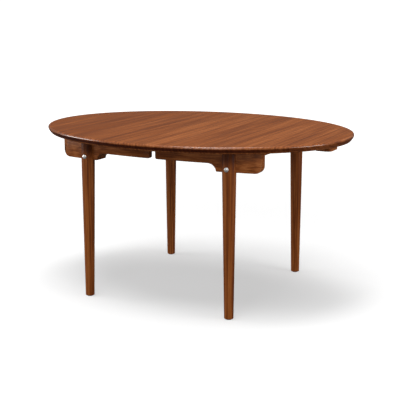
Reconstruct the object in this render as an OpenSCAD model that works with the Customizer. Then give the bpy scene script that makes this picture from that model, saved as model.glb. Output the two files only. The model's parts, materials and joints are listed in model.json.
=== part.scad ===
// Oval extension table: two half tops on a parting underframe with four bolted turned legs.
// Origin: on the floor under the centre of the closed table. X runs along the table's length and
// along the pull of the extension, Y across it, Z up. The left half stands, the right half pulls out.

/* [Overall] */
// Length of the closed oval top
table_l = 1400; // [1360:10:1500]
// Width of the oval top
table_w = 1060; // [1040:2:1160]
// Height from the floor to the top surface
table_h = 720; // [700:5:750]
// Thickness of the top
top_t = 28; // [26:1:30]

/* [Top edge] */
// Radius of the rounded upper edge
arris_r = 8; // [4:0.5:9]
// How far the edge is cut back at its foot
undercut = 10; // [4:1:14]
// Small bevel along the foot of the edge
foot_bevel = 2; // [1:0.5:3]
// Gap between the closed halves
seam_gap = 0.6; // [0.4:0.1:1.5]

/* [Rails] */
// Thickness of every rail
rail_t = 24; // [21:1:26]
// Depth of a rail along its shallow middle
rail_shallow_h = 54; // [52:1:62]
// Depth of a rail where it carries a leg
rail_deep_h = 86; // [82:1:98]
// Distance of the side rail's outer face from the centre line, at the seam
side_face_y = 396; // [392:1:400]
// Radius to which the side rails bow outward
side_bow_r = 2200; // [2100:50:2600]
// Distance of the side rail's outer end from the seam
side_end_x = 465; // [440:5:500]
// Radius of the side rail's lower outer corner
side_end_r = 30; // [15:1:40]
// Open gap between the two halves of a side rail
rail_gap = 27; // [20:1:50]
// Distance from the seam to the foot of the side rail's cove
side_cove_x = 279; // [270:1:290]
// Radius of the coves
cove_r = 36; // [33:1:48]
// Distance of the end rail's outer face from the seam, at the middle
end_face_x = 382; // [380:0.5:383]
// Radius to which the end rails bow outward
end_bow_r = 1500; // [1400:50:1600]
// Distance from the centre line to the foot of the end rail's cove
end_cove_y = 290; // [280:1:295]

/* [Legs] */
// Distance of a leg's axis from the seam, at the rails
leg_x = 331; // [328:1:338]
// Distance of a leg's axis from the centre line, at the rails
leg_y = 365; // [364:1:370]
// How far each foot stands out past the leg's top, along X and along Y
leg_splay = 5; // [0:1:12]
// Leg diameter at the rails
leg_top_d = 57; // [54:1:60]
// Leg diameter just above the floor
leg_foot_d = 38.5; // [32:0.5:44]
// Diameter of the leg bolt's head
bolt_head_d = 19; // [16:1:20]
// Depth of the leg bolts below the underside of the top
bolt_drop = 72; // [68:1:73]

/* [Extension] */
// How far the right half pulls out, room for two loose leaves
travel = 1200; // [600:50:1200]
// Depth of the wooden runners
runner_h = 30; // [28:1:34]
// Width of one outer runner
runner_w = 31; // [28:1:34]
// Distance of the bearer's rounded nose from the seam
bearer_x = 640; // [620:5:650]

/* [Hidden] */

$fn = 48;
bow_fn = 720;
oval_fn = 256;
walnut = "#8a5636";
walnut_dark = "#774629";
beech = "#c79a66";
steel = "#c9cbcc";
nylon = "#3a3531";
eps = 0.01;

// Levels
under_z = table_h - top_t;
shallow_z = under_z - rail_shallow_h;
deep_z = under_z - rail_deep_h;
bolt_z = under_z - bolt_drop;
mid_z = table_h - top_t / 2;

// Leg
leg_top_r = leg_top_d / 2;
leg_foot_r = leg_foot_d / 2;
foot_round = 2.5;
glide_h = 3;
glide_r = 13;
glide_pin_r = 1.5;
glide_pin_h = 15;
leg_flat = 24.5;
leg_clear = 0.3;

// Leg bolt and its barrel nut
bolt_r = 4;
bolt_hole_r = 4.25;
bolt_head_r = bolt_head_d / 2;
bolt_head_h = 4.5;
bolt_rim_h = 1.5;
bolt_socket_r = 2.6;
bolt_socket_h = 2.5;
spot_r = bolt_head_r + 0.6;
spot_depth = 1.6;
bolt_seat_y = leg_y + leg_top_r - spot_depth;
bolt_tip_y = 311;
nut_y = 321;
nut_r = 6;
nut_l = 16;

// Screws
screw_r = 2.25;
screw_head_r = 4.5;
screw_head_h = 2.6;
screw_bite = 14;

// Blocks
block_h = 46;
corner_block_x = 218;
corner_block_w = 60;
corner_block_in_y = 308;
corner_screw_x = 231;
corner_screw_y = 335;
fixing_block_l = 60;
fixing_block_w = 24;
fixing_block_x = 60;

// Runners
eased_h = runner_h - 0.6;
middle_w = 36;
slide_gap = 1;
tongue_w = 9.4;
tongue_h = 9.4;
groove_w = 10;
groove_h = 10;
runner_in_y = middle_w / 2 + slide_gap;
runner_out_y = runner_in_y + runner_w;
runner_z = under_z - runner_h;
groove_z = under_z - 22;
bearer_l = 65;
bearer_w = 2 * runner_out_y;
bearer_h = runner_h;
bearer_nose_r = 25;
runner_root_x = bearer_x - bearer_l;
runner_tip_x = runner_root_x - 10;
middle_half_l = runner_root_x - 5;
notch_clear = 2;
notch_h = runner_h + 6;
middle_z = runner_z + 4;
runner_screw_x = [120, 320, 520];
runner_screw_y = runner_out_y - 9;

// Stops at full travel
plate_t = 3;
plate_l = 8;
plate_in_y = 4;
stop_pin_r = 3;
stop_pin_y = 10;
stop_pin_x = travel / 2 + stop_pin_r + 1 - (runner_tip_x - plate_l);
stop_pin_z = runner_z - 5;
stop_pin_h = 20;

// Seam dowels
dowel_r = 5;
dowel_hole_r = 5.08;
dowel_out = 18;
dowel_in = 22;
dowel_y = [-420, -150, 150, 420];

// Hook locks
lock_y = 200;
lock_pivot_x = 45;
lock_reach = 80;
lock_w = 22;
lock_t = 6;
lock_end = 12;
lock_top_z = under_z - 2.3;
lock_hole_r = 2.58;
lock_notch_r = 4.4;
lock_pin_r = 3;
lock_washer_h = 2;
lock_washer_r = 8;

// ---- helpers ----

module at_left() {
  mirror([1, 0, 0]) children();
}

module at_back() {
  mirror([0, 1, 0]) children();
}

module front_and_back() {
  children();
  at_back() children();
}

// A cylinder along Y that starts at y and runs towards +Y.
module y_rod(x, y, z, r, l) {
  translate([x, y, z]) rotate([-90, 0, 0]) cylinder(r = r, h = l);
}

// A countersunk wood screw that points up, its head's flat face at the origin.
module wood_screw(l) {
  rotate_extrude() polygon([
    [0, 0], [screw_head_r, 0], [screw_r, screw_head_h],
    [screw_r, l - 5], [0, l]
  ]);
}

// The space that wood_screw's head and shank take in a piece of the given thickness.
module screw_hole(l) {
  translate([0, 0, -eps]) cylinder(r1 = screw_head_r + eps, r2 = screw_r, h = screw_head_h + eps);
  cylinder(r = screw_r, h = l);
}

// A square of side r whose far corner is rounded off, used to cut a rounded corner.
module corner_cut(r) {
  difference() {
    translate([-r, -1]) square([r + 1, r + 1]);
    translate([-r, r]) circle(r = r, $fn = 64);
  }
}

// ---- tops ----

// The edge profile: rounded upper arris, face cut back towards its foot, small bevel at the foot.
module top_profile() {
  a = table_l / 2;
  steps = 6;
  arris = [for (i = [0:steps]) let (t = 90 * i / steps)
    [a - arris_r + arris_r * cos(t), table_h - arris_r + arris_r * sin(t)]];
  polygon(concat(
    [[0, under_z - 1], [a - undercut - foot_bevel - 1, under_z - 1], [a - undercut, under_z + foot_bevel]],
    arris,
    [[a - arris_r, table_h + 1], [0, table_h + 1]]
  ));
}

module half_oval() {
  intersection() {
    scale([1, table_w / table_l, 1]) rotate_extrude($fn = oval_fn) top_profile();
    translate([seam_gap / 2, -table_w, under_z]) cube([table_l, 2 * table_w, top_t]);
  }
}

// Where one screw goes up through each corner block of the right half.
module corner_screw_places() {
  front_and_back() translate([corner_screw_x, -corner_screw_y, shallow_z]) children();
}

// Where one screw goes up through each fixing block of the right half.
module fixing_screw_places() {
  front_and_back() translate([fixing_block_x + fixing_block_l / 2, fixing_block_y(), under_z - block_h])
    children();
}

// Where the screws go up through the right half's bearer.
module bearer_screw_places() {
  for (y = [-30, 30]) translate([bearer_x - bearer_l / 2, y, under_z - bearer_h]) children();
}

module runner_screw_places() {
  for (x = runner_screw_x) translate([x, runner_screw_y, runner_z]) children();
}

// The right half's top, with dowel holes of the given radius and pilot holes for the screws.
module half_top(hole_r) {
  difference() {
    half_oval();
    for (y = dowel_y) translate([-1, y, mid_z]) rotate([0, 90, 0]) cylinder(r = hole_r, h = dowel_in + 1);
    corner_screw_places() cylinder(r = screw_r, h = rail_shallow_h + screw_bite);
    fixing_screw_places() cylinder(r = screw_r, h = block_h + screw_bite);
    bearer_screw_places() cylinder(r = screw_r, h = bearer_h + screw_bite);
    runner_screw_places() cylinder(r = screw_r, h = runner_h + screw_bite);
  }
}

module top_right() {
  color(walnut) difference() {
    half_top(dowel_r);
    front_and_back() translate([lock_reach - lock_pivot_x, -lock_y, under_z - 1])
      cylinder(r = lock_pin_r, h = 13);
  }
}

module top_left() {
  color(walnut) difference() {
    rotate([0, 0, 180]) half_top(dowel_hole_r);
    front_and_back() translate([-lock_pivot_x, -lock_y, under_z - 1]) cylinder(r = 2.5, h = 13);
  }
}

// ---- rails ----

// Centre of a cove that is level with the shallow edge and ends in a corner at the deep edge.
function cove_run() = sqrt(pow(cove_r, 2) - pow(cove_r - (rail_deep_h - rail_shallow_h), 2));

// A rail's outline from x0 to x1, shallow first and deep after its cove.
module rail_outline(x0, x1, cove_x) {
  cove_c = cove_x - cove_run();
  translate([x0, shallow_z]) square([x1 - x0, rail_shallow_h]);
  difference() {
    translate([cove_c, deep_z]) square([x1 - cove_c, rail_deep_h - 1]);
    translate([cove_c, shallow_z - cove_r]) circle(r = cove_r, $fn = 96);
  }
}

module side_outline() {
  difference() {
    rail_outline(rail_gap / 2, side_end_x, side_cove_x);
    translate([side_end_x, deep_z]) corner_cut(side_end_r);
    translate([rail_gap / 2, shallow_z]) mirror([1, 0]) corner_cut(7);
  }
}

// The bowed sheet that both front side rails are cut from.
module side_sheet() {
  translate([0, side_bow_r - side_face_y, deep_z]) linear_extrude(rail_deep_h) difference() {
    circle(r = side_bow_r, $fn = bow_fn);
    circle(r = side_bow_r - rail_t, $fn = bow_fn);
  }
}

module side_rail() {
  color(walnut) difference() {
    intersection() {
      side_sheet();
      translate([0, -side_face_y + 90, 0]) rotate([90, 0, 0]) linear_extrude(100) side_outline();
    }
    y_rod(leg_x, -side_face_y - 5, bolt_z, bolt_hole_r, 90);
  }
}

// The bowed sheet that the right end rail is cut from.
module end_sheet() {
  translate([end_face_x - end_bow_r, 0, deep_z]) linear_extrude(rail_deep_h) difference() {
    circle(r = end_bow_r, $fn = bow_fn);
    circle(r = end_bow_r - rail_t, $fn = bow_fn);
  }
}

// The arch under the end rail's shallow middle, with a cove at each end.
module end_arch() {
  cove_c = end_cove_y - cove_run();
  translate([-cove_c, deep_z - cove_r]) square([2 * cove_c, rail_deep_h - rail_shallow_h + cove_r]);
  for (y = [-cove_c, cove_c]) translate([y, shallow_z - cove_r]) circle(r = cove_r, $fn = 96);
}

module end_rail() {
  half_l = leg_y - leg_flat;
  notch_w = runner_out_y + notch_clear;
  color(walnut) difference() {
    intersection() {
      end_sheet();
      translate([end_face_x - 90, -half_l, deep_z - 1]) cube([100, 2 * half_l, rail_deep_h + 2]);
    }
    translate([end_face_x - 95, 0, 0]) rotate([90, 0, 90]) linear_extrude(110) end_arch();
    translate([end_face_x - 95, -notch_w, under_z - notch_h]) cube([110, 2 * notch_w, notch_h + 1]);
    front_and_back() {
      y_rod(leg_x, -leg_y, bolt_z, bolt_hole_r, leg_y - bolt_tip_y + 1);
      translate([leg_x, -nut_y, deep_z - 1]) cylinder(r = nut_r, h = bolt_z + nut_l / 2 - deep_z + 1);
    }
  }
}

// ---- legs ----

module leg_turning() {
  rotate_extrude($fn = 96) polygon(concat(
    [[0, 0], [leg_foot_r - foot_round, 0], [leg_foot_r - foot_round, glide_h]],
    [for (t = [-60, -30, 0])
      [leg_foot_r - foot_round + foot_round * cos(t), glide_h + foot_round * (1 + sin(t))]],
    [[leg_top_r, deep_z], [leg_top_r, table_h], [0, table_h]]
  ));
}

// Places its children along the leg's axis, which leans so that the foot stands out past the top.
module on_leg_axis() {
  lean = atan(leg_splay / deep_z);
  translate([leg_x, -leg_y, deep_z]) rotate([-lean, -lean, 0]) translate([0, 0, -deep_z]) children();
}

// The front right leg: slotted for the side rail, flat where the end rail meets it.
module leg() {
  color(walnut_dark) difference() {
    intersection() {
      on_leg_axis() leg_turning();
      translate([leg_x - 50, -leg_y - 50, glide_h]) cube([100, 100, under_z - glide_h]);
    }
    side_sheet();
    translate([leg_x - 40, -leg_y + leg_flat, deep_z]) cube([80, 20, rail_deep_h + 1]);
    y_rod(leg_x, -leg_y - leg_top_r - 1, bolt_z, bolt_hole_r, 2 * leg_top_r);
    y_rod(leg_x, -bolt_seat_y - 5, bolt_z, spot_r, 5);
    foot_place() cylinder(r = glide_pin_r, h = glide_h + glide_pin_h);
  }
}

module foot_place() {
  translate([leg_x + leg_splay, -leg_y - leg_splay, 0]) children();
}

module leg_bolt() {
  translate([leg_x, -bolt_seat_y, bolt_z]) rotate([-90, 0, 0]) difference() {
    union() {
      translate([0, 0, -1]) cylinder(r = bolt_r, h = bolt_seat_y - bolt_tip_y + 1);
      rotate_extrude() polygon(concat(
        [[0, 0], [bolt_head_r, 0]],
        [for (i = [0:5]) let (t = 90 * i / 5)
          [bolt_head_r * cos(t), -bolt_rim_h - (bolt_head_h - bolt_rim_h) * sin(t)]]
      ));
    }
    translate([0, 0, -bolt_head_h - 1]) cylinder(r = bolt_socket_r, h = bolt_socket_h + 1, $fn = 6);
  }
}

module leg_bolts() {
  color(steel) front_and_back() leg_bolt();
}

module nut_place() {
  translate([leg_x, -nut_y, bolt_z - nut_l / 2]) children();
}

module barrel_nuts() {
  color(steel) front_and_back() difference() {
    nut_place() cylinder(r = nut_r, h = nut_l);
    y_rod(leg_x, -leg_y, bolt_z, bolt_r, 100);
  }
}

module foot_glides() {
  color(nylon) front_and_back() foot_place() {
    rotate_extrude() polygon([[0, 0], [glide_r - 1, 0], [glide_r, 1], [glide_r, glide_h], [0, glide_h]]);
    translate([0, 0, glide_h - eps]) cylinder(r = glide_pin_r, h = glide_pin_h - 1);
  }
}

// ---- blocks and screws ----

// The inner face of the side rail at distance x from the seam.
function side_inner_y(x) = side_face_y - side_bow_r + sqrt(pow(side_bow_r - rail_t, 2) - pow(x, 2));
function fixing_block_y() = -side_inner_y(fixing_block_x + fixing_block_l) + fixing_block_w / 2;

// All the room between the inner faces of the front side rails and the right end rail.
module inside_rails() {
  translate([0, 0, deep_z - 1]) linear_extrude(rail_deep_h + 2) intersection() {
    translate([0, side_bow_r - side_face_y]) circle(r = side_bow_r - rail_t, $fn = bow_fn);
    translate([end_face_x - end_bow_r, 0]) circle(r = end_bow_r - rail_t, $fn = bow_fn);
  }
}

// The thick block behind a side rail at each leg, cut to the same cove.
module corner_blocks() {
  color(walnut) front_and_back() difference() {
    intersection() {
      inside_rails();
      translate([0, -corner_block_in_y, 0]) rotate([90, 0, 0]) linear_extrude(corner_block_w)
        rail_outline(corner_block_x, leg_x, side_cove_x);
    }
    on_leg_axis() translate([0, 0, deep_z - 5]) cylinder(r = leg_top_r + leg_clear, h = rail_deep_h + 10);
    corner_screw_places() screw_hole(rail_shallow_h + 1);
  }
}

module fixing_blocks() {
  color(beech) front_and_back() difference() {
    translate([fixing_block_x, fixing_block_y() - fixing_block_w / 2 - 5, under_z - block_h])
      cube([fixing_block_l, fixing_block_w + 5, block_h]);
    side_sheet();
    fixing_screw_places() screw_hole(block_h + 1);
  }
}

module top_screws() {
  color(steel) {
    corner_screw_places() wood_screw(rail_shallow_h + screw_bite - 1);
    fixing_screw_places() wood_screw(block_h + screw_bite - 1);
    bearer_screw_places() wood_screw(bearer_h + screw_bite - 1);
  }
}

// ---- extension ----

module bearer() {
  color(walnut_dark) difference() {
    translate([0, 0, under_z - bearer_h]) linear_extrude(bearer_h) difference() {
      translate([bearer_x - bearer_l, -bearer_w / 2]) square([bearer_l, bearer_w]);
      translate([bearer_x, -bearer_w / 2]) corner_cut(bearer_nose_r);
      mirror([0, 1]) translate([bearer_x, -bearer_w / 2]) corner_cut(bearer_nose_r);
    }
    bearer_screw_places() screw_hole(bearer_h + 1);
  }
}

// The right half's runner. It reaches under the left half, where its top is eased to slide.
module runner() {
  color(walnut_dark) difference() {
    union() {
      translate([1, runner_in_y, runner_z]) cube([runner_root_x - 1, runner_w, runner_h]);
      translate([-runner_tip_x, runner_in_y, runner_z]) cube([runner_tip_x + 2, runner_w, eased_h]);
    }
    translate([-runner_tip_x - 1, runner_in_y - 1, groove_z]) cube([2 * table_l, groove_w + 1, groove_h]);
    runner_screw_places() screw_hole(runner_h + 1);
    translate([-runner_tip_x - 1, plate_in_y, runner_z - 1]) cube([plate_l + 1, runner_out_y, plate_t + 1]);
  }
}

module runner_middle() {
  color(beech) difference() {
    union() {
      translate([-middle_half_l, -middle_w / 2, middle_z])
        cube([2 * middle_half_l, middle_w, runner_z + eased_h - middle_z]);
      translate([-middle_half_l, -middle_w / 2 - tongue_w, groove_z + (groove_h - tongue_h) / 2])
        cube([2 * middle_half_l, middle_w + 2 * tongue_w, tongue_h]);
    }
    stop_pin_places() translate([0, 0, 5]) cylinder(r = stop_pin_r, h = stop_pin_h - 5);
  }
}

module stop_pin_places() {
  translate([-stop_pin_x, -stop_pin_y, stop_pin_z]) children();
  translate([stop_pin_x, stop_pin_y, stop_pin_z]) children();
}

module stop_pins() {
  color(steel) stop_pin_places() cylinder(r = stop_pin_r, h = stop_pin_h);
}

module stop_plate() {
  color(steel) translate([-runner_tip_x, plate_in_y, runner_z])
    cube([plate_l, runner_out_y - plate_in_y, plate_t]);
}

module runner_screws() {
  color(steel) runner_screw_places() wood_screw(runner_h + screw_bite - 1);
}

module seam_dowels() {
  color(beech) for (y = dowel_y) translate([0, y, mid_z]) rotate([0, 90, 0]) rotate_extrude() polygon([
    [0, -dowel_out], [dowel_r - 2, -dowel_out], [dowel_r, -dowel_out + 2], [dowel_r, dowel_in], [0, dowel_in]
  ]);
}

// ---- hook locks ----

// The front hook, drawn locked across the seam and turned back by 90 degrees to its open place.
module lock_hook() {
  color(steel) translate([-lock_pivot_x, -lock_y, lock_top_z - lock_t]) rotate([0, 0, -90])
    linear_extrude(lock_t) difference() {
      union() {
        circle(d = lock_w);
        translate([0, -lock_w / 2]) square([lock_reach + lock_end, lock_w]);
      }
      circle(r = lock_hole_r);
      translate([lock_reach, 0]) circle(r = lock_notch_r);
      translate([lock_reach - lock_notch_r, 0]) square([2 * lock_notch_r, lock_w]);
      translate([lock_reach + lock_end, -lock_w / 2]) corner_cut(8);
    }
}

module lock_pivots() {
  color(steel) front_and_back() translate([-lock_pivot_x, -lock_y, 0]) {
    translate([0, 0, lock_top_z - lock_t - 2.5]) cylinder(r = 6, h = 2.2);
    translate([0, 0, lock_top_z - lock_t - 0.5]) cylinder(r = 2.5, h = under_z - lock_top_z + lock_t + 11);
    translate([0, 0, under_z - lock_washer_h]) cylinder(r = lock_washer_r, h = lock_washer_h);
  }
}

module lock_pins() {
  color(steel) front_and_back() translate([lock_reach - lock_pivot_x, -lock_y, 0]) {
    translate([0, 0, lock_top_z - lock_t - 1])
      cylinder(r = lock_pin_r, h = under_z - lock_top_z + lock_t + 12);
    translate([0, 0, lock_top_z - lock_t - 2.5]) cylinder(r = 6, h = 2);
  }
}

top_left();
top_right();
at_left() side_rail();  // rail_front_left
side_rail();  // rail_front_right
at_left() at_back() side_rail();  // rail_back_left
at_back() side_rail();  // rail_back_right
at_left() end_rail();  // end_rail_left
end_rail();  // end_rail_right
at_left() leg();  // leg_front_left
leg();  // leg_front_right
at_left() at_back() leg();  // leg_back_left
at_back() leg();  // leg_back_right
at_left() leg_bolts();  // leg_bolts_left
leg_bolts();  // leg_bolts_right
at_left() barrel_nuts();  // barrel_nuts_left
barrel_nuts();  // barrel_nuts_right
at_left() foot_glides();  // foot_glides_left
foot_glides();  // foot_glides_right
at_left() corner_blocks();  // corner_blocks_left
corner_blocks();  // corner_blocks_right
at_left() fixing_blocks();  // fixing_blocks_left
fixing_blocks();  // fixing_blocks_right
at_left() top_screws();  // top_screws_left
top_screws();  // top_screws_right
rotate([0, 0, 180]) runner();  // runner_left
runner_middle();
runner();  // runner_right
at_left() bearer();  // bearer_left
bearer();  // bearer_right
rotate([0, 0, 180]) runner_screws();  // runner_screws_left
runner_screws();  // runner_screws_right
rotate([0, 0, 180]) stop_plate();  // stop_plate_left
stop_plate();  // stop_plate_right
stop_pins();
seam_dowels();
lock_hook();  // lock_hook_front
at_back() lock_hook();  // lock_hook_back
lock_pivots();
lock_pins();
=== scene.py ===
import json
import math

import bmesh
import bpy
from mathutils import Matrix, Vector


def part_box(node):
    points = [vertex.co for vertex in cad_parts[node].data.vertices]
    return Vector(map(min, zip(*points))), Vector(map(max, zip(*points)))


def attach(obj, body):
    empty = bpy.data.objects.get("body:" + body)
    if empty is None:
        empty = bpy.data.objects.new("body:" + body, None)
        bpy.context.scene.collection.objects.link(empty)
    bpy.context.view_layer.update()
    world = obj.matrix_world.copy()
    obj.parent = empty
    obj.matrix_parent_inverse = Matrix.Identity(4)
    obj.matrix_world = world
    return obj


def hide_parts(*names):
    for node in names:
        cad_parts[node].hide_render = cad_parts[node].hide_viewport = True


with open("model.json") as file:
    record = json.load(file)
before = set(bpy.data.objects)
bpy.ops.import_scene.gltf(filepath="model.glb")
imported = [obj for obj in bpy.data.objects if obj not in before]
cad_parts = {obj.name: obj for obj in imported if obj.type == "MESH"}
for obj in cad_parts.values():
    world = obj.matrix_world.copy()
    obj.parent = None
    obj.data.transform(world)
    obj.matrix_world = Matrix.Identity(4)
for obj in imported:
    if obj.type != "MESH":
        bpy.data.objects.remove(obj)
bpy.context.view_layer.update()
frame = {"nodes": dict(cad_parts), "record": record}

# Oval walnut extension table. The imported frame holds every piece. This script rebuilds the two half
# tops, eases the sawn edges of the rails, blocks, bearers and outer runners, and gives every piece
# its material. Metres throughout.

NODES = frame["nodes"]
BODY_OF = {n: b for b, names in frame["record"]["behaviour"]["bodies"].items() for n in names}
MM = 0.001

# Camera, fitted to the photographed view
CAMERA_AT = (1.8460, -3.5957, 1.2921)
CAMERA_YAW = 26.968
CAMERA_PITCH = 12.608
CAMERA_LENS = 83.07

# Edge of the tops: arris, undercut and foot bevel as in the CAD source
ARRIS_R = 8 * MM
UNDERCUT = 10 * MM
FOOT_BEVEL = 2 * MM
LIP = 1.0 * MM
UNDERCUT_CURVE = 1.5
ARRIS_STEPS = 7
UNDERCUT_STEPS = 5
RIM_STEPS = 176
SEAM_BEVEL = 0.9 * MM
DOWEL_HOLE_R = 5.3 * MM
DOWEL_HOLE_DEPTH = 24 * MM

# Eased edges of the sawn pieces
EASED = {
    "rail_": 1.6 * MM, "end_rail": 1.6 * MM, "bearer": 2.0 * MM, "runner_left": 1.0 * MM,
    "runner_right": 1.0 * MM, "corner_blocks": 1.0 * MM, "fixing_blocks": 1.0 * MM,
}
SHARP = math.radians(32)
FLAT = math.radians(0.2)
SHORTEST = 0.45 * MM
WELD = 0.01 * MM
BEVEL_SEGMENTS = 3

# Floor, room and lamps
FLOOR_SIZE = 40
FLOOR_ALBEDO = 0.45
# The floor's glow is lower in an oval under the table than around it: painted shadow
GLOW_IN_PAINTED_SHADOW = 0.365
GLOW_AROUND = 0.55
PAINTED_SHADOW_OVAL = (0.78, 1.45, 0)
PAINTED_SHADOW_RAMP = (0.25, 0.78)
FAR_GLOW = 0.5
FAR_RAMP = (1.6, 5.0)
BACKDROP_GLOW = 1.1
WORLD_LOW = 0.10
WORLD_HIGH = 0.30
WORLD_RAMP = (-0.12, 0.70)
LAMP_TARGET = (0, 0, 0.6)
# name: (place, size, power in watts)
LAMPS = {
    "overhead": ((-0.3, -0.9, 8), (2.4, 5.5), 440),
    "front_high": ((1.4, -5.4, 4.2), (3.0, 1.5), 110),
    "front_low": ((0.6, -5.2, 0.9), (3.4, 1.0), 34),
    "left_low": ((-4.2, -1.6, 1.2), (2.2, 1.2), 92),
    "right_low": ((4.2, -0.1, 1.2), (2.2, 1.2), 72),
}

# Timber colours, from the darkest growth to the lightest
TOP_TONES = ((0.130, 0.031, 0.005), (0.212, 0.055, 0.010), (0.270, 0.075, 0.015), (0.385, 0.126, 0.036))
RAIL_TONES = ((0.128, 0.031, 0.006), (0.228, 0.061, 0.011), (0.298, 0.087, 0.019), (0.420, 0.143, 0.041))
LEG_TONES = ((0.118, 0.026, 0.004), (0.208, 0.051, 0.008), (0.272, 0.076, 0.013), (0.375, 0.122, 0.029))
BEECH_TONES = ((0.44, 0.26, 0.135), (0.53, 0.33, 0.185), (0.59, 0.385, 0.225), (0.65, 0.45, 0.28))
TONE_STOPS = (0.12, 0.40, 0.62, 0.90)
FIBRE_TINT = (0.62, 0.55, 0.50)
PORE_TINT = (0.34, 0.27, 0.22)
FIBRE_DEPTH = 0.28

# Texture axes for each grain direction: two across, then the one along
AXES = {"X": (1, 2, 0), "Y": (0, 2, 1), "Z": (0, 1, 2)}
BOARD_WIDTH = 0.118
BOARD_SLIDE = 7.0
BOARD_LIFT = 3.0
BOARD_TONE = 0.07
# Layers of the grain: share of the length along it, then scale, detail, roughness and distortion
RING_SHARE = 0.045
BROAD = (0.035, 18, 3, 0.55, 0.3)
STREAK = (0.018, 78, 3, 0.6, 0.0)
FIBRE = (0.03, 620, 3, 0.65, 0.0)
PORE = (0.055, 900, 1, 0.5, 0.0)
FINE = (0.014, 210, 2, 0.55, 0.0)
# What each layer gives to the tone
RING_TONE = 0.20
BROAD_TONE = (0.30, 0.70, 0.0, 0.18)
STREAK_TONE = (0.36, 0.64, 0.0, 0.38)
FINE_TONE = (0.36, 0.64, 0.0, 0.30)
WOOD_ROUGH = (0.40, 0.54)
WOOD_SPECULAR = 0.14

# Painted shade darkening the undercut of the tops, and polish on their arris, above the underside
UNDERCUT_PAINTED_SHADE = (0.22, 0.12, 0.09)
BAND_FOOT = 5.5 * MM
BAND_HEAD = 18.5 * MM
BAND_FADE = 2.2 * MM
BAND_ENDS = (0.40, 0.68)
BAND_END_SHARE = 0.5
POLISH_FOOT = 20.5 * MM
POLISH_HEAD = 27.2 * MM
POLISH_FADE = 0.5 * MM
POLISH_WEIGHT = 0.85
POLISH_ROUGH = 0.20
# Painted shade of the top on the legs: they darken over this stretch below the underside
LEG_PAINTED_SHADE_TONE = (0.42, 0.34, 0.29)
LEG_HEAD_FOOT = 0.090
LEG_HEAD_TOP = 0.030


# ---- camera, floor and light ----

def make_camera():
    data = bpy.data.cameras.new("camera")
    data.lens = CAMERA_LENS
    data.clip_end = 200
    camera = bpy.data.objects.new("camera", data)
    camera.location = CAMERA_AT
    camera.rotation_euler = (math.radians(90 - CAMERA_PITCH), 0, math.radians(CAMERA_YAW))
    bpy.context.scene.collection.objects.link(camera)
    bpy.context.scene.camera = camera


def add(tree, kind, inputs=None, **settings):
    """Adds a node, sets its properties, and sets or links its inputs."""
    node = tree.nodes.new(kind)
    for key, value in settings.items():
        setattr(node, key, value)
    for key, value in (inputs or {}).items():
        if isinstance(value, bpy.types.NodeSocket):
            tree.links.new(value, node.inputs[key])
        else:
            node.inputs[key].default_value = value
    return node


def link_object(name, mesh):
    obj = bpy.data.objects.new(name, mesh)
    bpy.context.scene.collection.objects.link(obj)
    return obj


def make_floor():
    """A pale floor that doesn't throw its own light back up, and isn't seen from below. Its glow dips in
    an oval under the table, a painted shadow.
    """
    mesh = bpy.data.meshes.new("floor")
    half = FLOOR_SIZE / 2
    mesh.from_pydata([(-half, -half, 0), (half, -half, 0), (half, half, 0), (-half, half, 0)],
                     [], [(0, 1, 2, 3)])
    mat = bpy.data.materials.new("floor")
    mat.use_nodes = True
    tree = mat.node_tree
    tree.nodes.clear()
    diffuse = add(tree, "ShaderNodeBsdfDiffuse", {"Color": (FLOOR_ALBEDO,) * 3 + (1,)})
    spot = add(tree, "ShaderNodeTexCoord").outputs["Object"]
    away = add(tree, "ShaderNodeVectorMath", {0: spot}, operation="LENGTH").outputs["Value"]
    oval = add(tree, "ShaderNodeVectorMath", {0: spot, 1: PAINTED_SHADOW_OVAL}, operation="MULTIPLY").outputs[0]
    beside = add(tree, "ShaderNodeVectorMath", {0: oval}, operation="LENGTH").outputs["Value"]
    # Painted shadow: less glow in the oval under the table
    painted_shadow_glow = spread(tree, beside, *PAINTED_SHADOW_RAMP, GLOW_IN_PAINTED_SHADOW, GLOW_AROUND)
    strength = math_node(tree, "ADD", painted_shadow_glow, spread(tree, away, *FAR_RAMP, 0.0, FAR_GLOW))
    glow = add(tree, "ShaderNodeEmission", {"Color": (1, 1, 1, 1), "Strength": strength})
    both = add(tree, "ShaderNodeAddShader", {0: diffuse.outputs[0], 1: glow.outputs[0]})
    clear = add(tree, "ShaderNodeBsdfTransparent")
    side = add(tree, "ShaderNodeNewGeometry")
    mix = add(tree, "ShaderNodeMixShader",
              {0: side.outputs["Backfacing"], 1: both.outputs[0], 2: clear.outputs[0]})
    add(tree, "ShaderNodeOutputMaterial", {"Surface": mix.outputs[0]})
    mesh.materials.append(mat)
    floor = link_object("floor", mesh)
    hide_from_light(floor)


def make_backdrop():
    """A plain white surround, which only the camera sees."""
    mesh = bpy.data.meshes.new("backdrop")
    bm = bmesh.new()
    bmesh.ops.create_icosphere(bm, subdivisions=3, radius=FLOOR_SIZE * 0.49)
    bm.to_mesh(mesh)
    bm.free()
    mat = bpy.data.materials.new("backdrop")
    mat.use_nodes = True
    tree = mat.node_tree
    tree.nodes.clear()
    glow = add(tree, "ShaderNodeEmission", {"Color": (1, 1, 1, 1), "Strength": BACKDROP_GLOW})
    add(tree, "ShaderNodeOutputMaterial", {"Surface": glow.outputs[0]})
    mesh.materials.append(mat)
    backdrop = link_object("backdrop", mesh)
    hide_from_light(backdrop)
    backdrop.visible_shadow = False


def hide_from_light(obj):
    obj.visible_diffuse = False
    obj.visible_glossy = False
    obj.visible_transmission = False


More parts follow.
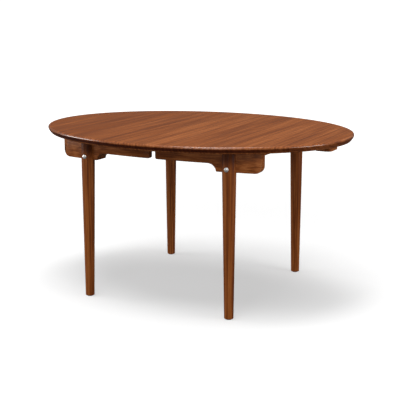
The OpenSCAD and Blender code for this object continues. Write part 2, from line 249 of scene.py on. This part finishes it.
def make_world():
    """Grey room light from above the horizon, little from below it."""
    world = bpy.data.worlds.new("world")
    world.use_nodes = True
    tree = world.node_tree
    tree.nodes.clear()
    where = add(tree, "ShaderNodeTexCoord")
    parts = add(tree, "ShaderNodeSeparateXYZ", {0: where.outputs["Generated"]})
    strength = spread(tree, parts.outputs["Z"], *WORLD_RAMP, WORLD_LOW, WORLD_HIGH)
    back = add(tree, "ShaderNodeBackground", {"Color": (1, 1, 1, 1), "Strength": strength})
    add(tree, "ShaderNodeOutputWorld", {"Surface": back.outputs[0]})
    bpy.context.scene.world = world


def area_light(name, place, size, power):
    data = bpy.data.lights.new(name, "AREA")
    data.shape = "RECTANGLE"
    data.size, data.size_y = size
    data.energy = power
    lamp = bpy.data.objects.new(name, data)
    lamp.location = place
    lamp.rotation_euler = (Vector(LAMP_TARGET) - Vector(place)).to_track_quat("-Z", "Y").to_euler()
    bpy.context.scene.collection.objects.link(lamp)


def make_lights():
    for name, (place, size, power) in LAMPS.items():
        area_light(name, place, size, power)


# ---- materials ----

def rgba(colour):
    return tuple(colour) + (1.0,)


def principled(name):
    mat = bpy.data.materials.new(name)
    mat.use_nodes = True
    tree = mat.node_tree
    tree.nodes.clear()
    bsdf = add(tree, "ShaderNodeBsdfPrincipled")
    add(tree, "ShaderNodeOutputMaterial", {"Surface": bsdf.outputs[0]})
    return mat, tree, bsdf


def math_node(tree, operation, a, b=None):
    inputs = {0: a} if b is None else {0: a, 1: b}
    return add(tree, "ShaderNodeMath", inputs, operation=operation).outputs[0]


def spread(tree, value, low, high, to_low=0.0, to_high=1.0):
    """Maps low..high of a value to to_low..to_high, smoothly."""
    node = add(tree, "ShaderNodeMapRange",
               {"Value": value, "From Min": low, "From Max": high,
                "To Min": to_low, "To Max": to_high}, interpolation_type="SMOOTHSTEP")
    return node.outputs[0]


def noise(tree, vector, scale, detail=2.0, rough=0.5, distortion=0.0):
    return add(tree, "ShaderNodeTexNoise",
               {"Vector": vector, "Scale": scale, "Detail": detail, "Roughness": rough,
                "Distortion": distortion}).outputs["Fac"]


def stretched(tree, across_1, across_2, along, share):
    """A vector whose third part, along the grain, changes slowly."""
    slow = math_node(tree, "MULTIPLY", along, share)
    return add(tree, "ShaderNodeCombineXYZ", {0: across_1, 1: across_2, 2: slow}).outputs[0]


def tinted(tree, colour, amount, factor_colour):
    """Multiplies a colour by another, as far as the amount says."""
    node = add(tree, "ShaderNodeMix", data_type="RGBA", blend_type="MULTIPLY")
    tree.links.new(amount, node.inputs[0])
    tree.links.new(colour, node.inputs[6])
    node.inputs[7].default_value = rgba(factor_colour)
    return node.outputs[2]


def ramp_of(tree, value, stops):
    node = add(tree, "ShaderNodeValToRGB", {0: value})
    node.color_ramp.interpolation = "B_SPLINE"
    elements = node.color_ramp.elements
    while len(elements) < len(stops):
        elements.new(0.5)
    for element, (at, colour) in zip(elements, stops):
        element.position = at
        element.color = rgba(colour)
    return node.outputs[0]


def height_band_share(tree, where, low, high, fade):
    """A share by height: full from low to high, fading out on both sides."""
    height = height_of(tree, where)
    rising = spread(tree, height, low - fade, low + fade)
    falling = spread(tree, height, high - fade, high + fade, 1.0, 0.0)
    return math_node(tree, "MULTIPLY", rising, falling)


def height_of(tree, where):
    return add(tree, "ShaderNodeSeparateXYZ", {0: where}).outputs["Z"]


def grain_axes(tree, where, along, shift, board):
    """The two axes across the grain, the one along it, and a random number for each board."""
    moved = add(tree, "ShaderNodeVectorMath", {0: where, 1: shift}, operation="ADD").outputs[0]
    axes = add(tree, "ShaderNodeSeparateXYZ", {0: moved}).outputs
    one, two, run = (axes[i] for i in AXES[along])
    if not board:
        return one, two, run, None
    number = math_node(tree, "FLOOR", math_node(tree, "DIVIDE", one, board))
    dice = add(tree, "ShaderNodeTexWhiteNoise", {"W": number}, noise_dimensions="1D").outputs["Value"]
    run = math_node(tree, "ADD", run, math_node(tree, "MULTIPLY", dice, BOARD_SLIDE))
    two = math_node(tree, "ADD", two, math_node(tree, "MULTIPLY", dice, BOARD_LIFT))
    return one, two, run, dice


def grain_layer(tree, axes, layer):
    share, scale, detail, rough, distortion = layer
    return noise(tree, stretched(tree, *axes, share), scale, detail, rough, distortion)


def growth_rings(tree, axes, ring, figure):
    return add(tree, "ShaderNodeTexWave",
               {"Vector": stretched(tree, *axes, RING_SHARE), "Scale": ring,
                "Distortion": 5.0 * figure, "Detail": 3.0,
                "Detail Scale": 0.35, "Detail Roughness": 0.55},
               wave_type="BANDS", bands_direction="X", wave_profile="SIN").outputs["Fac"]


def grain_tone(tree, axes, rings, streak, dice):
    """How dark or light the timber is, from 0 to about 1."""
    tone = math_node(tree, "MULTIPLY", rings, RING_TONE)
    parts = ((grain_layer(tree, axes, BROAD), BROAD_TONE), (streak, STREAK_TONE),
             (grain_layer(tree, axes, FINE), FINE_TONE))
    for layer, limits in parts:
        tone = math_node(tree, "ADD", tone, spread(tree, layer, *limits))
    if dice:
        tone = math_node(tree, "ADD", tone, spread(tree, dice, 0, 1, -BOARD_TONE, BOARD_TONE))
    return tone


def paint_undercut_shade(tree, colour, where, band):
    """Painted shade in the undercut, which weakens towards the tips of the oval."""
    end = math_node(tree, "ABSOLUTE", add(tree, "ShaderNodeSeparateXYZ", {0: where}).outputs["X"])
    share = math_node(tree, "MULTIPLY", height_band_share(tree, where, *band, BAND_FADE),
                      spread(tree, end, *BAND_ENDS, 1.0, BAND_END_SHARE))
    return tinted(tree, colour, share, UNDERCUT_PAINTED_SHADE)


def grain_bump(tree, fibre, pore):
    height = math_node(tree, "SUBTRACT", math_node(tree, "MULTIPLY", fibre, 0.35),
                       spread(tree, pore, 0.58, 0.74))
    return add(tree, "ShaderNodeBump",
               {"Height": height, "Strength": 0.25, "Distance": 0.12 * MM}).outputs[0]


def wood(name, along, tones, shift, ring, figure=1.0, pores=0.5, board=None,
         band=None, polish=None, shade=None):
    """Solid timber: wandering growth rings, fibres and pores that all run along one axis."""
    mat, tree, bsdf = principled(name)
    where = add(tree, "ShaderNodeTexCoord").outputs["Object"]
    *axes, dice = grain_axes(tree, where, along, shift, board)
    streak, fibre, pore = (grain_layer(tree, axes, layer) for layer in (STREAK, FIBRE, PORE))
    tone = grain_tone(tree, axes, growth_rings(tree, axes, ring, figure), streak, dice)
    colour = ramp_of(tree, tone, tuple(zip(TONE_STOPS, tones)))
    colour = tinted(tree, colour, spread(tree, fibre, 0.42, 0.72, 0.0, FIBRE_DEPTH), FIBRE_TINT)
    colour = tinted(tree, colour, spread(tree, pore, 0.60, 0.74, 0.0, pores), PORE_TINT)
    # Painted shade: darker towards the top of the piece, between the given heights
    if shade:
        low, high, deep = shade
        colour = tinted(tree, colour, spread(tree, height_of(tree, where), low, high), deep)
    # Painted shade: the undercut band of the tops is darkened
    if band:
        colour = paint_undercut_shade(tree, colour, where, band)
    tree.links.new(colour, bsdf.inputs["Base Color"])
    tree.links.new(spread(tree, streak, 0.3, 0.7, *WOOD_ROUGH), bsdf.inputs["Roughness"])
    tree.links.new(grain_bump(tree, fibre, pore), bsdf.inputs["Normal"])
    bsdf.inputs["Specular IOR Level"].default_value = WOOD_SPECULAR
    if polish:
        share = height_band_share(tree, where, *polish, POLISH_FADE)
        tree.links.new(math_node(tree, "MULTIPLY", share, POLISH_WEIGHT), bsdf.inputs["Coat Weight"])
        bsdf.inputs["Coat Roughness"].default_value = POLISH_ROUGH
    return mat


def metal(name, colour, rough, scale, streak_axis="Z"):
    """Turned or rolled metal: fine scratches, faint stains and a little unevenness."""
    mat, tree, bsdf = principled(name)
    where = add(tree, "ShaderNodeTexCoord").outputs["Object"]
    parts = add(tree, "ShaderNodeSeparateXYZ", {0: where}).outputs
    order = AXES[streak_axis]
    vector = stretched(tree, parts[order[0]], parts[order[1]], parts[order[2]], 0.08)
    scratch = noise(tree, vector, scale, 3, 0.6)
    stain = noise(tree, where, 90, 3, 0.6)
    base = ramp_of(tree, stain, ((0.3, [c * 0.82 for c in colour]), (0.55, colour),
                                 (0.8, [min(c * 1.08, 1.0) for c in colour])))
    tree.links.new(base, bsdf.inputs["Base Color"])
    bsdf.inputs["Metallic"].default_value = 1.0
    tree.links.new(spread(tree, scratch, 0.3, 0.7, rough * 0.8, rough * 1.25), bsdf.inputs["Roughness"])
    bump = add(tree, "ShaderNodeBump", {"Height": scratch, "Strength": 0.15, "Distance": 0.05 * MM})
    tree.links.new(bump.outputs[0], bsdf.inputs["Normal"])
    return mat


def nylon():
    """Moulded dark plastic with a fine eggshell grain and floor dust."""
    mat, tree, bsdf = principled("nylon")
    where = add(tree, "ShaderNodeTexCoord").outputs["Object"]
    grain = noise(tree, where, 1400, 2, 0.5)
    dust = noise(tree, where, 120, 3, 0.6)
    base = ramp_of(tree, dust, ((0.35, (0.030, 0.026, 0.023)), (0.6, (0.055, 0.048, 0.043)),
                                (0.85, (0.11, 0.10, 0.09))))
    tree.links.new(base, bsdf.inputs["Base Color"])
    tree.links.new(spread(tree, dust, 0.3, 0.8, 0.42, 0.7), bsdf.inputs["Roughness"])
    bump = add(tree, "ShaderNodeBump", {"Height": grain, "Strength": 0.2, "Distance": 0.05 * MM})
    tree.links.new(bump.outputs[0], bsdf.inputs["Normal"])
    return mat


def make_materials():
    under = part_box("top_left")[0].z
    return {
        "top": wood("walnut_top", "Y", TOP_TONES, (0.31, 0.4, 0.2), ring=22, board=BOARD_WIDTH,
                    band=(under + BAND_FOOT, under + BAND_HEAD),
                    polish=(under + POLISH_FOOT, under + POLISH_HEAD)),
        "rail_x": wood("walnut_rail_x", "X", RAIL_TONES, (1.3, 0.7, 0.45), ring=30),
        "rail_y": wood("walnut_rail_y", "Y", RAIL_TONES, (0.6, 2.1, 0.9), ring=30),
        "leg": wood("walnut_leg", "Z", LEG_TONES, (0.9, 1.7, 0.3), ring=34,
                    shade=(under - LEG_HEAD_FOOT, under - LEG_HEAD_TOP, LEG_PAINTED_SHADE_TONE)),
        "beech_x": wood("beech_x", "X", BEECH_TONES, (2.2, 0.1, 0.8), ring=30, figure=0.5, pores=0.25),
        "beech_y": wood("beech_y", "Y", BEECH_TONES, (0.2, 1.1, 1.8), ring=30, figure=0.5, pores=0.25),
        "bolt": metal("satin_steel", (0.86, 0.85, 0.83), 0.42, 900, "Y"),
        "zinc": metal("zinc_plate", (0.66, 0.65, 0.60), 0.36, 700),
        "hook": metal("rolled_steel", (0.56, 0.55, 0.53), 0.34, 500, "X"),
        "nylon": nylon(),
    }


def material_key(node):
    if node.startswith(("top_screws", "runner_screws")):
        return "zinc"
    if node.startswith("top_"):
        return "top"
    if node.startswith(("leg_bolts", "barrel_nuts")):
        return "bolt"
    if node.startswith("leg_"):
        return "leg"
    if node.startswith(("rail_", "corner")) or node in ("runner_left", "runner_right"):
        return "rail_x"
    if node.startswith(("end_rail", "bearer")):
        return "rail_y"
    if node.startswith("fixing"):
        return "beech_y"
    if node in ("runner_middle", "seam_dowels"):
        return "beech_x"
    if node.startswith("foot_glides"):
        return "nylon"
    return "hook"


def dress(obj, node, materials):
    obj.data.materials.clear()
    obj.data.materials.append(materials[material_key(node)])


# ---- pieces ----

def stand_for(obj, node):
    """Rides the piece on its node's body, in that node's place, and hides the node."""
    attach(obj, BODY_OF[node])
    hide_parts(node)


def weight_layer(bm):
    return bm.edges.layers.float.get("bevel_weight_edge") or bm.edges.layers.float.new("bevel_weight_edge")


def soften_edges(obj, width):
    """A bevel on the edges that carry a bevel weight."""
    mod = obj.modifiers.new("soft_edges", "BEVEL")
    mod.limit_method = "WEIGHT"
    mod.width = width
    mod.segments = BEVEL_SEGMENTS
    mod.harden_normals = True
    mod.use_clamp_overlap = False


def rim_profile(height, under):
    """The edge of a top as (inset, height), from its foot over the arris onto the flat."""
    points = [(UNDERCUT + FOOT_BEVEL + 4 * MM, under), (UNDERCUT + FOOT_BEVEL, under),
              (UNDERCUT, under + FOOT_BEVEL)]
    foot, lip = under + FOOT_BEVEL, height - ARRIS_R - LIP
    for i in range(1, UNDERCUT_STEPS + 1):
        t = i / UNDERCUT_STEPS
        points.append((UNDERCUT * (1 - t) ** UNDERCUT_CURVE, foot + (lip - foot) * t))
    for i in range(ARRIS_STEPS + 1):
        t = math.radians(90 * i / ARRIS_STEPS)
        points.append((ARRIS_R - ARRIS_R * math.cos(t), height - ARRIS_R + ARRIS_R * math.sin(t)))
    points.append((ARRIS_R + 3 * MM, height))
    return points


def half_top_mesh(node, side):
    """One half of the oval, its edge profile the same width all round. side is +1 for the right half."""
    low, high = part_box(node)
    a = max(abs(low.x), abs(high.x))
    b = high.y
    seam = min(abs(low.x), abs(high.x))
    profile = rim_profile(high.z, low.z)
    reach = math.acos(seam / a)
    bm = bmesh.new()
    rings = []
    for i in range(RIM_STEPS + 1):
        t = -reach + 2 * reach * i / RIM_STEPS
        point = Vector((a * math.cos(t), b * math.sin(t), 0))
        normal = Vector((math.cos(t) / a, math.sin(t) / b, 0)).normalized()
        ring = []
        for inset, z in profile:
            p = point - normal * inset
            x = seam if i in (0, RIM_STEPS) else max(p.x, seam)
            ring.append(bm.verts.new((side * x, side * p.y, z)))
        rings.append(ring)
    for one, two in zip(rings, rings[1:]):
        for k in range(len(profile) - 1):
            bm.faces.new((one[k], two[k], two[k + 1], one[k + 1]))
    bm.faces.new([ring[-1] for ring in rings])
    bm.faces.new([ring[0] for ring in reversed(rings)])
    seam_face = bm.faces.new(list(rings[0]) + list(reversed(rings[-1])))
    bm.normal_update()
    bmesh.ops.recalc_face_normals(bm, faces=bm.faces)
    layer = weight_layer(bm)
    for edge in seam_face.edges:
        edge[layer] = 1.0
    for face in bm.faces:
        face.smooth = True
    mesh = bpy.data.meshes.new(node + "_top")
    bm.to_mesh(mesh)
    bm.free()
    return mesh


def islands(node):
    """The low and high corners of each separate solid in a CAD node."""
    bm = bmesh.new()
    bm.from_mesh(NODES[node].data)
    bmesh.ops.remove_doubles(bm, verts=bm.verts, dist=WELD)
    left, found = set(bm.verts), []
    while left:
        group, todo = set(), [next(iter(left))]
        while todo:
            vert = todo.pop()
            if vert in group:
                continue
            group.add(vert)
            todo.extend(edge.other_vert(vert) for edge in vert.link_edges)
        left -= group
        found.append((Vector([min(v.co[k] for v in group) for k in range(3)]),
                      Vector([max(v.co[k] for v in group) for k in range(3)])))
    bm.free()
    return sorted(found, key=lambda pair: tuple(pair[0]))


def bore_for_dowels(top):
    """Cuts the left half's dowel holes, where the right half's dowels go in."""
    bm = bmesh.new()
    for low, high in islands("seam_dowels"):
        middle = (low + high) / 2
        made = bmesh.ops.create_cone(bm, cap_ends=True, segments=32, radius1=DOWEL_HOLE_R,
                                     radius2=DOWEL_HOLE_R, depth=2 * DOWEL_HOLE_DEPTH)
        for vert in made["verts"]:
            x, y, z = vert.co
            vert.co = Vector((z, middle.y + y, middle.z + x))
    bmesh.ops.recalc_face_normals(bm, faces=bm.faces)
    mesh = bpy.data.meshes.new("dowel_bores")
    bm.to_mesh(mesh)
    bm.free()
    cutter = link_object("dowel_bores", mesh)
    cut = top.modifiers.new("bores", "BOOLEAN")
    cut.operation = "DIFFERENCE"
    cut.solver = "EXACT"
    cut.object = cutter
    bpy.context.view_layer.update()
    done = bpy.data.meshes.new_from_object(top.evaluated_get(bpy.context.evaluated_depsgraph_get()))
    top.modifiers.clear()
    top.data = done
    bpy.data.objects.remove(cutter)


def make_tops(materials):
    for node, side in (("top_left", -1), ("top_right", 1)):
        top = link_object(node + ".wood", half_top_mesh(node, side))
        soften_edges(top, SEAM_BEVEL)
        if node == "top_left":
            bore_for_dowels(top)
        dress(top, node, materials)
        stand_for(top, node)


def softened(node, width, materials):
    """A copy of a wooden CAD node with its sawn edges eased, as sandpaper leaves them."""
    bm = bmesh.new()
    bm.from_mesh(NODES[node].data)
    bmesh.ops.remove_doubles(bm, verts=bm.verts, dist=WELD)
    bmesh.ops.dissolve_limit(bm, angle_limit=FLAT, verts=bm.verts, edges=bm.edges)
    layer = weight_layer(bm)
    for edge in bm.edges:
        if edge.is_manifold and edge.calc_face_angle() > SHARP and edge.calc_length() > SHORTEST:
            edge[layer] = 1.0
    for face in bm.faces:
        face.smooth = True
    for edge in bm.edges:
        edge.smooth = not (edge.is_manifold and edge.calc_face_angle() > SHARP and edge[layer] == 0)
    mesh = bpy.data.meshes.new(node + "_wood")
    bm.to_mesh(mesh)
    bm.free()
    piece = link_object(node + ".wood", mesh)
    soften_edges(piece, width)
    dress(piece, node, materials)
    stand_for(piece, node)


def make_pieces(materials):
    make_tops(materials)
    for node, obj in NODES.items():
        width = next((w for start, w in EASED.items() if node.startswith(start)), None)
        if width:
            softened(node, width, materials)
        elif node not in ("top_left", "top_right"):
            dress(obj, node, materials)


make_camera()
make_floor()
make_backdrop()
make_world()
make_lights()
make_pieces(make_materials())
bpy.context.scene.view_settings.view_transform = "Standard"
